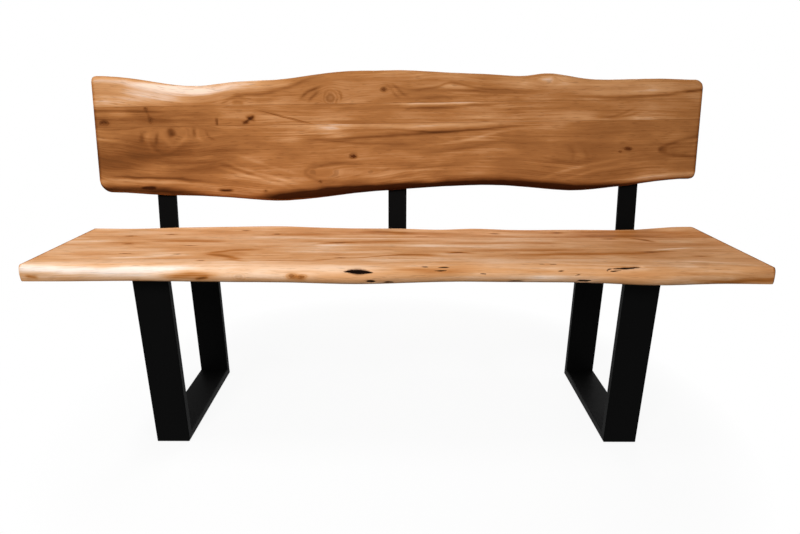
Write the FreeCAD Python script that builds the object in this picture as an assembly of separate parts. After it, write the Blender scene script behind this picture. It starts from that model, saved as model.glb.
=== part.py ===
import FreeCAD, Part
import math
import os
from collections import namedtuple

# Live edge bench: a seat and a leaning backrest of edge glued boards, on two U shaped tube frames.
# +X runs along the bench, to the right as seen from the front. +Y runs from front to back. +Z is up.
# Lengths are in millimetres. While the pieces are made, Y starts at the front faces of the legs.

# Overall sizes
bench_length = 1610.0
seat_height = 470.0
seat_thickness = 36.0
back_thickness = 30.0
back_lean = 9.5  # degrees from upright

# Seat: straight base lines of its two live edges, and what leaves them
seat_front_overhang = 52.0  # base line of the front edge, in front of the legs
seat_rear_setback = 63.0  # base line of the rear edge, in front of the legs' rear faces
seat_front_wave = 25.0
seat_rear_wave = 48.0
seat_front_bevel = 44.0
seat_rear_bevel = 40.0
seat_joint_skew = 17.0  # how far a glue line moves back from one end to the other
seat_joint_shares = (0.15, 0.421, 0.679)
seat_front_corner = 5.0
seat_rear_corner = 6.0

# Backrest: the same, measured up its slope from the level of the seat
back_lift = 124.0  # base line of the lower edge
back_height = 235.5  # from there to the base line of the upper edge
back_lower_wave = 65.0
back_upper_wave = 41.0
back_lower_bevel = 26.0
back_upper_bevel = 24.0
back_joint_skew = 26.5
back_joint_shares = (0.59, 0.809)
back_end_inset = 5.0  # end of the seat to the end of the backrest
back_small_corner = 8.0
back_upper_right_corner = 16.0
back_lower_left_corner = 24.0

# Legs: two frames of flat rectangular tube, mitred at the floor, with a plate under the seat
leg_inset = 215.0  # end of the seat to the outer face of the frame
frame_depth = 370.0
tube_width = 80.0
tube_thickness = 20.0
tube_wall = 2.0
tube_corner = 2.5
plate_thickness = 6.0
plate_corner = 5.0

# Supports: three bent flat bars that carry the backrest
support_width = 50.0
support_thickness = 8.0
support_bend = 10.0  # inner radius
support_foot = 190.0  # from the corner of the bend to the foot's front end
support_leg_gap = 18.5  # between a leg frame and the support beside it
support_setback = 7.0  # from the legs' rear faces to the support's front face, at the seat's level
support_top_gap = 6.0  # from the base line of the upper edge down to the support's top
support_corner = 6.0

# Screws, and the holes that they pass through. Hidden round rods and their holes have few sides.
rod_sides = 8
shank_radius = 3.0  # to the corners of its sides
head_width = 10.0  # across the flats of the hexagon
head_height = 4.0
head_sides = 6
seat_screw_bite = 26.0
back_screw_bite = 22.0
steel_clearance = 0.4
wood_clearance = 0.1
pilot_relief = 1.5
plate_screw_spread = 44.0
plate_screw_shares = (0.14, 0.4, 0.68)
foot_screw_shares = (0.32, 0.6, 0.88)
back_screw_shares = (0.066, 0.45, 0.7, 0.918)

# Glides under the floor bars
glide_radius = 12.0
glide_height = 3.0
glide_stem_radius = 4.0
glide_stem_length = 7.0
glide_inset = 42.0
stem_clearance = 0.1

# How far a cutting tool runs past what it cuts
overrun = 20.0

# Live edges. Each row is: place along the edge, share of the wave outwards, share of the bevel.
seat_front_shares = (
    (-1.0, 0.1, 0.42), (-0.87, 0.14, 0.45), (-0.74, 0.0, 0.52), (-0.58, 0.2, 0.78),
    (-0.41, 0.4, 0.95), (-0.26, 0.54, 1.0), (-0.12, 0.88, 1.0), (0.0, 0.6, 0.92),
    (0.16, 0.08, 0.8), (0.3, 0.18, 0.84), (0.45, 0.24, 0.9), (0.58, 0.58, 0.85),
    (0.69, 0.96, 0.8), (0.8, 0.62, 0.66), (0.91, 0.34, 0.5), (1.0, 0.36, 0.42),
)
seat_rear_shares = (
    (-1.0, 0.0, 0.5), (-0.86, 0.02, 0.6), (-0.73, 0.44, 0.8), (-0.55, 0.73, 0.9),
    (-0.4, 0.95, 1.0), (-0.26, 0.6, 0.9), (-0.12, 0.37, 0.8), (0.04, 0.3, 0.8),
    (0.14, 0.06, 0.7), (0.25, 0.37, 0.8), (0.36, 0.12, 0.75), (0.6, 0.19, 0.8),
    (0.8, 0.33, 0.9), (0.93, 0.91, 0.85), (1.0, 1.0, 0.8),
)
back_lower_shares = (
    (-1.0, 0.68, 0.5), (-0.86, 0.77, 0.7), (-0.7, 0.82, 0.9), (-0.53, 0.93, 1.0),
    (-0.45, 1.0, 1.0), (-0.36, 0.97, 0.9), (-0.3, 0.9, 0.9), (-0.19, 0.73, 0.8),
    (-0.06, 0.57, 0.7), (0.09, 0.44, 0.7), (0.26, 0.34, 0.8), (0.43, 0.4, 0.8),
    (0.62, 0.54, 0.7), (0.72, 0.42, 0.6), (0.83, 0.25, 0.6), (0.92, 0.1, 0.5), (1.0, 0.05, 0.5),
)
back_upper_shares = (
    (-1.0, 0.58, 0.5), (-0.9, 0.47, 0.6), (-0.79, 0.18, 0.9), (-0.66, 0.0, 1.0),
    (-0.56, 0.22, 0.9), (-0.42, 0.37, 0.8), (-0.31, 0.6, 0.8), (-0.22, 0.85, 0.8),
    (-0.08, 0.98, 0.7), (0.06, 0.98, 0.7), (0.22, 0.83, 0.7), (0.33, 0.76, 0.8),
    (0.42, 0.68, 0.8), (0.47, 0.79, 0.9), (0.505, 0.86, 0.9), (0.55, 0.78, 0.9),
    (0.62, 0.56, 0.8), (0.78, 0.51, 0.7), (0.92, 0.53, 0.6), (1.0, 0.48, 0.5),
)

# Section of a live edge, from the hidden face to the show face: share of the thickness, share of the bevel
edge_section_shares = (
    (0.0, 0.2), (0.11, 0.07), (0.34, 0.0), (0.55, 0.04),
    (0.72, 0.16), (0.85, 0.36), (0.94, 0.62), (1.0, 1.0),
)

LiveEdge = namedtuple("LiveEdge", "line side wave bevel shares")
Corners = namedtuple("Corners", "low_left low_right high_right high_left")

# Places worked out from the sizes above
back_length = bench_length - 2 * back_end_inset
seat_underside = seat_height - seat_thickness
leg_outer_x = bench_length / 2 - leg_inset
leg_x = leg_outer_x - tube_width / 2
support_x = leg_outer_x + support_leg_gap + support_width / 2
support_face_y = frame_depth - support_setback
back_top_line = back_lift + back_height
lean = math.radians(back_lean)
slope_up = FreeCAD.Vector(0, math.sin(lean), math.cos(lean))
slope_rear = FreeCAD.Vector(0, math.cos(lean), -math.sin(lean))
along = FreeCAD.Vector(1, 0, 0)
upward = FreeCAD.Vector(0, 0, 1)
slope_foot = FreeCAD.Vector(0, support_face_y, seat_height)


def arc(start, centre, end):
    """Arc of under a half circle about a centre."""
    radius = (start - centre).Length
    toward = (start + end) * 0.5 - centre
    return Part.Arc(start, centre + toward.normalize() * radius, end).toShape()


def prism(place, way, radius, sides, length):
    """Prism with regular ends that starts at a place and runs along the way, a corner towards +X."""
    across = way.cross(along)
    corners = []
    for number in range(sides + 1):
        turn = 2 * math.pi * number / sides
        corners.append(place + along * (radius * math.cos(turn)) + across * (radius * math.sin(turn)))
    return Part.Face(Part.makePolygon(corners)).extrude(way * length)


def live_points(edge, length, height, inset_share, left_corner, right_corner):
    """Points of a live edge at one height of its section, from left to right."""
    left = -length / 2 + left_corner
    span = length - left_corner - right_corner
    points = []
    for place, wave_share, bevel_share in edge.shares:
        reach = edge.wave * wave_share - edge.bevel * bevel_share * inset_share
        points.append(FreeCAD.Vector(left + span * (place + 1) / 2, edge.line + edge.side * reach, height))
    return points


def live_curve(points):
    """Smooth curve through the points, paced by their places along the bench, that ends square to its ends."""
    way = along if points[-1].x > points[0].x else -along
    paces = [abs(point.x - points[0].x) for point in points]
    curve = Part.BSplineCurve()
    curve.interpolate(Points=points, Parameters=paces, InitialTangent=way, FinalTangent=way, Scale=False)
    return curve.toShape()


def slab_outline(length, low, high, corners, height, inset_share):
    """Closed outline of a slab at one height: two live edges, two straight ends, four round corners."""
    low_points = live_points(low, length, height, inset_share, corners.low_left, corners.low_right)
    high_points = live_points(high, length, height, inset_share, corners.high_left, corners.high_right)
    high_points.reverse()
    right_start = low_points[-1] + FreeCAD.Vector(corners.low_right, corners.low_right, 0)
    right_end = high_points[0] + FreeCAD.Vector(corners.high_right, -corners.high_right, 0)
    left_start = high_points[-1] + FreeCAD.Vector(-corners.high_left, -corners.high_left, 0)
    left_end = low_points[0] + FreeCAD.Vector(-corners.low_left, corners.low_left, 0)
    return Part.Wire([
        live_curve(low_points),
        arc(low_points[-1], right_start - along * corners.low_right, right_start),
        Part.makeLine(right_start, right_end),
        arc(right_end, right_end - along * corners.high_right, high_points[0]),
        live_curve(high_points),
        arc(high_points[-1], left_start + along * corners.high_left, left_start),
        Part.makeLine(left_start, left_end),
        arc(left_end, left_end + along * corners.low_left, low_points[0]),
    ])


def slab_boards(length, low, high, corners, thickness, joint_shares, skew):
    """Slab that lies flat, show face up, parted into boards along its glue lines."""
    sections = [
        slab_outline(length, low, high, corners, thickness * share, inset)
        for share, inset in edge_section_shares
    ]
    slab = Part.makeLoft(sections, True, True)
    depth = high.line - low.line
    joints = [low.line + depth * share for share in joint_shares]
    limits = [low.line - low.wave - overrun] + joints + [high.line + high.wave + overrun]
    reach = length / 2 + overrun
    drift = skew * reach / length
    boards = []
    for low_limit, high_limit in zip(limits, limits[1:]):
        strip = Part.Face(Part.makePolygon([
            FreeCAD.Vector(-reach, low_limit - drift, -overrun),
            FreeCAD.Vector(reach, low_limit + drift, -overrun),
            FreeCAD.Vector(reach, high_limit + drift, -overrun),
            FreeCAD.Vector(-reach, high_limit - drift, -overrun),
            FreeCAD.Vector(-reach, low_limit - drift, -overrun),
        ]))
        boards.append(slab.common(strip.extrude(upward * (thickness + 2 * overrun))))
    return boards


def seat_boards():
    """Four boards of the seat, from front to rear."""
    front = LiveEdge(-seat_front_overhang, -1, seat_front_wave, seat_front_bevel, seat_front_shares)
    rear_line = frame_depth - seat_rear_setback
    rear = LiveEdge(rear_line, 1, seat_rear_wave, seat_rear_bevel, seat_rear_shares)
    corners = Corners(seat_front_corner, seat_front_corner, seat_rear_corner, seat_rear_corner)
    boards = slab_boards(bench_length, front, rear, corners, seat_thickness, seat_joint_shares, seat_joint_skew)
    for board in boards:
        board.translate(upward * seat_underside)
    return boards


def back_boards():
    """Three boards of the backrest, from the lowest up, leaning against the supports."""
    lower = LiveEdge(back_lift, -1, back_lower_wave, back_lower_bevel, back_lower_shares)
    upper = LiveEdge(back_top_line, 1, back_upper_wave, back_upper_bevel, back_upper_shares)
    corners = Corners(back_lower_left_corner, back_small_corner, back_upper_right_corner, back_small_corner)
    boards = slab_boards(back_length, lower, upper, corners, back_thickness, back_joint_shares, back_joint_skew)
    stand_up = FreeCAD.Placement(slope_foot, FreeCAD.Rotation(along, 90 - back_lean))
    for board in boards:
        board.Placement = stand_up.multiply(board.Placement)
    return boards


def rounded_rectangle(width, depth, radius):
    """Face in XY, centred on the origin."""
    flat_x = width / 2 - radius
    flat_y = depth / 2 - radius
    edges = []
    for sign_x, sign_y in ((1, -1), (1, 1), (-1, 1), (-1, -1)):
        centre = FreeCAD.Vector(sign_x * flat_x, sign_y * flat_y, 0)
        sides = [FreeCAD.Vector(sign_x * radius, 0, 0), FreeCAD.Vector(0, sign_y * radius, 0)]
        if sign_x == sign_y:
            first, last = centre + sides[0], centre + sides[1]
        else:
            first, last = centre + sides[1], centre + sides[0]
        if edges:
            edges.append(Part.makeLine(edges[-1].Vertexes[-1].Point, first))
        else:
            opening = first
        edges.append(arc(first, centre, last))
    edges.append(Part.makeLine(edges[-1].Vertexes[-1].Point, opening))
    return Part.Face(Part.Wire(edges))


def tube(length):
    """Rectangular tube that stands on the origin, its wide side along X."""
    outer = rounded_rectangle(tube_width, tube_thickness, tube_corner)
    bore_width = tube_width - 2 * tube_wall
    bore_depth = tube_thickness - 2 * tube_wall
    inner = rounded_rectangle(bore_width, bore_depth, tube_corner - tube_wall)
    return outer.extrude(upward * length).cut(inner.extrude(upward * length))


def mitre_wedge(above):
    """Wedge over or under the 45 degree plane of the front corner at the floor."""
    low = glide_height - overrun
    high = glide_height + tube_thickness + overrun
    near = -overrun
    far = tube_thickness + overrun
    spare = (near, high) if above else (far, low)
    outline = [(near, low), (far, high), spare, (near, low)]
    face = Part.Face(Part.makePolygon([FreeCAD.Vector(-tube_width, y, z) for y, z in outline]))
    return face.extrude(along * (2 * tube_width))


def to_rear(shape):
    """Mirror image of a front piece of a leg frame at its rear."""
    return shape.mirror(FreeCAD.Vector(0, frame_depth / 2, 0), FreeCAD.Vector(0, 1, 0))


def front_post():
    """Front post of a leg frame, mitred at its foot."""
    post = tube(seat_underside - plate_thickness - glide_height)
    post.translate(FreeCAD.Vector(0, tube_thickness / 2, glide_height))
    return post.cut(mitre_wedge(False))


def glide_places():
    """Middle of each glide under a floor bar."""
    return [FreeCAD.Vector(0, y, 0) for y in (glide_inset, frame_depth - glide_inset)]


def floor_bar():
    """Floor bar of a leg frame, mitred at both ends, with holes for the glides' stems."""
    bar = tube(frame_depth)
    bar.rotate(FreeCAD.Vector(0, 0, 0), along, -90)
    bar.translate(upward * (glide_height + tube_thickness / 2))
    wedge = mitre_wedge(True)
    bar = bar.cut(wedge).cut(to_rear(wedge))
    for place in glide_places():
        depth = glide_height + tube_thickness / 2
        bar = bar.cut(prism(place, upward, glide_stem_radius + stem_clearance, rod_sides, depth))
    return bar


def glides():
    """Plastic glides of one floor bar, each a disc with a stem."""
    pieces = []
    for place in glide_places():
        disc = Part.makeCylinder(glide_radius, glide_height, place)
        stem = prism(place, upward, glide_stem_radius, rod_sides, glide_height + glide_stem_length)
        pieces.append(disc.fuse(stem))
    return pieces


def plate_screw_places():
    """Where the screws of a top plate enter it from below."""
    level = seat_underside - plate_thickness
    return [
        FreeCAD.Vector(side * plate_screw_spread / 2, frame_depth * share, level)
        for share in plate_screw_shares
        for side in (-1, 1)
    ]


def top_plate():
    """Plate that joins the posts of a leg frame under the seat."""
    plate = rounded_rectangle(tube_width, frame_depth, plate_corner).extrude(upward * plate_thickness)
    plate.translate(FreeCAD.Vector(0, frame_depth / 2, seat_underside - plate_thickness))
    for place in plate_screw_places():
        plate = plate.cut(prism(place, upward, shank_radius + steel_clearance, rod_sides, plate_thickness))
    return plate


def support_corner_point():
    """Where the support's front face meets the underside of the seat, before the bend is rounded."""
    return slope_foot - slope_up * (seat_thickness / math.cos(lean))


def foot_screw_places():
    """Where the screws of a support's foot enter it from below."""
    corner = support_corner_point()
    return [
        FreeCAD.Vector(0, corner.y - support_foot * share, seat_underside - support_thickness)
        for share in foot_screw_shares
    ]


def back_screw_places():
    """Where the screws of a support enter it from behind."""
    return [
        slope_foot + slope_up * (back_lift + back_height * share) + slope_rear * support_thickness
        for share in back_screw_shares
    ]


def support():
    """Flat bar bent to a foot under the seat and an upright behind the backrest."""
    corner = support_corner_point()
    forward = FreeCAD.Vector(0, -1, 0)
    tangent = support_bend * math.tan((math.pi / 2 - lean) / 2)
    inner_start = corner + forward * tangent
    inner_end = corner + slope_up * tangent
    centre = inner_start + upward * support_bend
    toe = corner + forward * support_foot
    top = slope_foot + slope_up * (back_top_line - support_top_gap)
    under = upward * -support_thickness
    behind = slope_rear * support_thickness
    outline = Part.Wire([
        Part.makeLine(toe, inner_start),
        arc(inner_start, centre, inner_end),
        Part.makeLine(inner_end, top),
        Part.makeLine(top, top + behind),
        Part.makeLine(top + behind, inner_end + behind),
        arc(inner_end + behind, centre, inner_start + under),
        Part.makeLine(inner_start + under, toe + under),
        Part.makeLine(toe + under, toe),
    ])
    bar = Part.Face(outline).extrude(along * support_width)
    bar.translate(along * (-support_width / 2))
    ends = [edge for edge in bar.Edges if is_end_edge(edge, toe, top)]
    bar = bar.makeFillet(support_corner, ends)
    hole_radius = shank_radius + steel_clearance
    for place in foot_screw_places():
        bar = bar.cut(prism(place, upward, hole_radius, rod_sides, support_thickness))
    for place in back_screw_places():
        bar = bar.cut(prism(place, -slope_rear, hole_radius, rod_sides, support_thickness))
    return bar


def is_end_edge(edge, toe, top):
    """True for the short edges through the thickness at the support's two ends."""
    if abs(edge.Length - support_thickness) > support_thickness / 2:
        return False
    middle = edge.CenterOfMass
    near_toe = abs(middle.y - toe.y) < support_thickness
    near_top = (middle - top).dot(slope_up) > -support_thickness
    return near_toe or near_top


def screw(place, way, grip, bite):
    """Hexagon headed screw whose head sits at a place, with its shank along the way."""
    head_radius = head_width / 2 / math.cos(math.pi / head_sides)
    head = prism(place, -way, head_radius, head_sides, head_height)
    return head.fuse(prism(place, way, shank_radius, rod_sides, grip + bite))


def pilot(place, way, grip, bite):
    """Hole in the wood for a screw."""
    return prism(place, way, shank_radius + wood_clearance, rod_sides, grip + bite + pilot_relief)


def moved(shapes, x):
    """Copies of shapes at a place along the bench."""
    copies = [shape.copy() for shape in shapes]
    for copy in copies:
        copy.translate(along * x)
    return copies


# Legs, plates and glides, left and right
nodes = {}
pilots = []
leg_sides = {"left": -leg_x, "right": leg_x}
plate_screws = [screw(place, upward, plate_thickness, seat_screw_bite) for place in plate_screw_places()]
plate_pilots = [pilot(place, upward, plate_thickness, seat_screw_bite) for place in plate_screw_places()]
for side, x in leg_sides.items():
    post = front_post()
    frame_pieces = {"front_post": post, "rear_post": to_rear(post), "floor_bar": floor_bar(), "top_plate": top_plate()}
    for name, piece in frame_pieces.items():
        nodes[f"{side}_{name}"] = moved([piece], x)
    nodes[f"{side}_glides"] = moved(glides(), x)
    nodes[f"{side}_leg_screws"] = moved(plate_screws, x)
    pilots += moved(plate_pilots, x)

# Supports of the backrest, with their screws
support_places = {"left": -support_x, "centre": 0, "right": support_x}
foot_screws = [screw(place, upward, support_thickness, seat_screw_bite) for place in foot_screw_places()]
foot_pilots = [pilot(place, upward, support_thickness, seat_screw_bite) for place in foot_screw_places()]
back_screws = [screw(place, -slope_rear, support_thickness, back_screw_bite) for place in back_screw_places()]
back_pilots = [pilot(place, -slope_rear, support_thickness, back_screw_bite) for place in back_screw_places()]
nodes["support_foot_screws"] = []
nodes["back_screws"] = []
for name, x in support_places.items():
    nodes[f"{name}_support"] = moved([support()], x)
    nodes["support_foot_screws"] += moved(foot_screws, x)
    nodes["back_screws"] += moved(back_screws, x)
    pilots += moved(foot_pilots + back_pilots, x)

# Boards, with the pilot holes of the screws that enter them
seat_names = ("seat_front_board", "seat_front_middle_board", "seat_rear_middle_board", "seat_rear_board")
back_names = ("back_lower_board", "back_middle_board", "back_upper_board")
for name, board in zip(seat_names + back_names, seat_boards() + back_boards()):
    nodes[name] = [board.cut(pilots)]

# The origin lies on the floor, under the middle of the bench's box
box = Part.makeCompound([piece for pieces in nodes.values() for piece in pieces]).optimalBoundingBox(False)
to_origin = FreeCAD.Vector(0, -(box.YMin + box.YMax) / 2, 0)

os.makedirs("parts", exist_ok=True)
for name, pieces in nodes.items():
    solids = [solid for piece in pieces for solid in piece.Solids]
    for solid in solids:
        solid.translate(to_origin)
    shape = solids[0] if len(solids) == 1 else Part.makeCompound(solids)
    shape.exportStep(f"parts/{name}.step")
    print(name, len(solids), "solids", round(shape.Volume), "mm3", "valid" if shape.isValid() else "NOT VALID")
print("box", [round(value, 2) for value in (box.XMin, box.XMax, box.YMin, box.YMax, box.ZMin, box.ZMax)])
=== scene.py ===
"""Looks of the live edge bench: solid wood slabs with natural edges on a black coated steel frame."""
import math

import bpy
import numpy as np
from mathutils import Color, Matrix, Vector, noise
from mathutils.bvhtree import BVHTree


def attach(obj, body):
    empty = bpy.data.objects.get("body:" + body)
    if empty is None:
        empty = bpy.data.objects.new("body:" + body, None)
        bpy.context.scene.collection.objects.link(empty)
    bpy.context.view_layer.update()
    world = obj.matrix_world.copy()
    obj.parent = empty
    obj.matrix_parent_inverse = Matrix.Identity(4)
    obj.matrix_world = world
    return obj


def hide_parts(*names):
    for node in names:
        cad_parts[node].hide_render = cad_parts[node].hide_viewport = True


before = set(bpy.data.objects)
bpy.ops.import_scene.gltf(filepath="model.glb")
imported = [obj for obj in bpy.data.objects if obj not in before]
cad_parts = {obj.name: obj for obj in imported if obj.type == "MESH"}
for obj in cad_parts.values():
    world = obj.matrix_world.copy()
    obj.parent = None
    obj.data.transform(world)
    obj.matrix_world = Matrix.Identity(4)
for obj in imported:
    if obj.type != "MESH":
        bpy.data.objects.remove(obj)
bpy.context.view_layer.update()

mm = 0.001
matrix_size = 4

# Camera, fitted to the photograph's frame
image_width = 800
image_height = 534
sensor_width = 36.0
focal_pixels = 592.63
optical_axis_row = 300
camera_place = (0.0038, -1.4319, 0.8336)
camera_pitch = math.radians(20.088)
camera_yaw = math.radians(0.149)
camera_roll = math.radians(-0.197)

# Slabs: how far each is turned up, and how closely their meshes follow the solids
back_lean = math.radians(9.5)
slab_turns = {"seat": 0.0, "back": math.pi / 2 - back_lean}
station_step = 4 * mm
end_station_step = 2 * mm
end_zone = 48 * mm
across_step = 2.5 * mm
fine_across_step = 1.5 * mm
end_margin = 0.2 * mm
side_margin = 50 * mm
arris_radii = {"seat_wood": 6 * mm, "back_wood": 2.5 * mm}
arris_steps = 5
section_shares = (0.004, 0.11, 0.34, 0.55, 0.72, 0.85, 0.94, 0.996)
curve_splits = 3
smoothing_rounds = 6
smoothing_weight = 0.5
sharp_angle = math.radians(35)

# Reach of the squarer nose at the seat's front corners
square_reach = 130 * mm

# Natural ripple of the live edges: depth, wavelength along the edge and over the section
ripples = (
    (1.6 * mm, 70 * mm, 30 * mm),
    (0.7 * mm, 24 * mm, 12 * mm),
)

# Grain: how far it follows a live edge, how it bows round a knot, and how it slants through the slab
edge_reach = 90 * mm
edge_smoothing_rounds = 120
knot_reach = 2.2
ring_slant = 0.8
far = 1000.0

# Unevenness of the marks: size and spacing of their wobble, and how far a knot's outline strays
wobble_size = 2.2 * mm
steady_width = 5.0
wobble_spacing = (38 * mm, 15 * mm)
knot_stray = 0.36

# Streaks and cracks: fading ends, a crack's fullness, how far they reach, and where a crack's pit ends
streak_taper_share = 0.36
streak_reach = 3.0
crack_taper_share = 0.5
crack_fullness = 0.7
crack_reach = 16 * mm
pit_reach = 1.5
thinnest_share = 0.001

# Ends of the boards: a painted shade line along their top arris, how fast it fades downwards, and the tone
# of the end grain
end_shade_tones = {"seat_wood": -1.0, "back_wood": -0.2}
end_shade_line = 10 * mm
end_shade_fade = 4
end_grain_tone = -0.16
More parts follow.
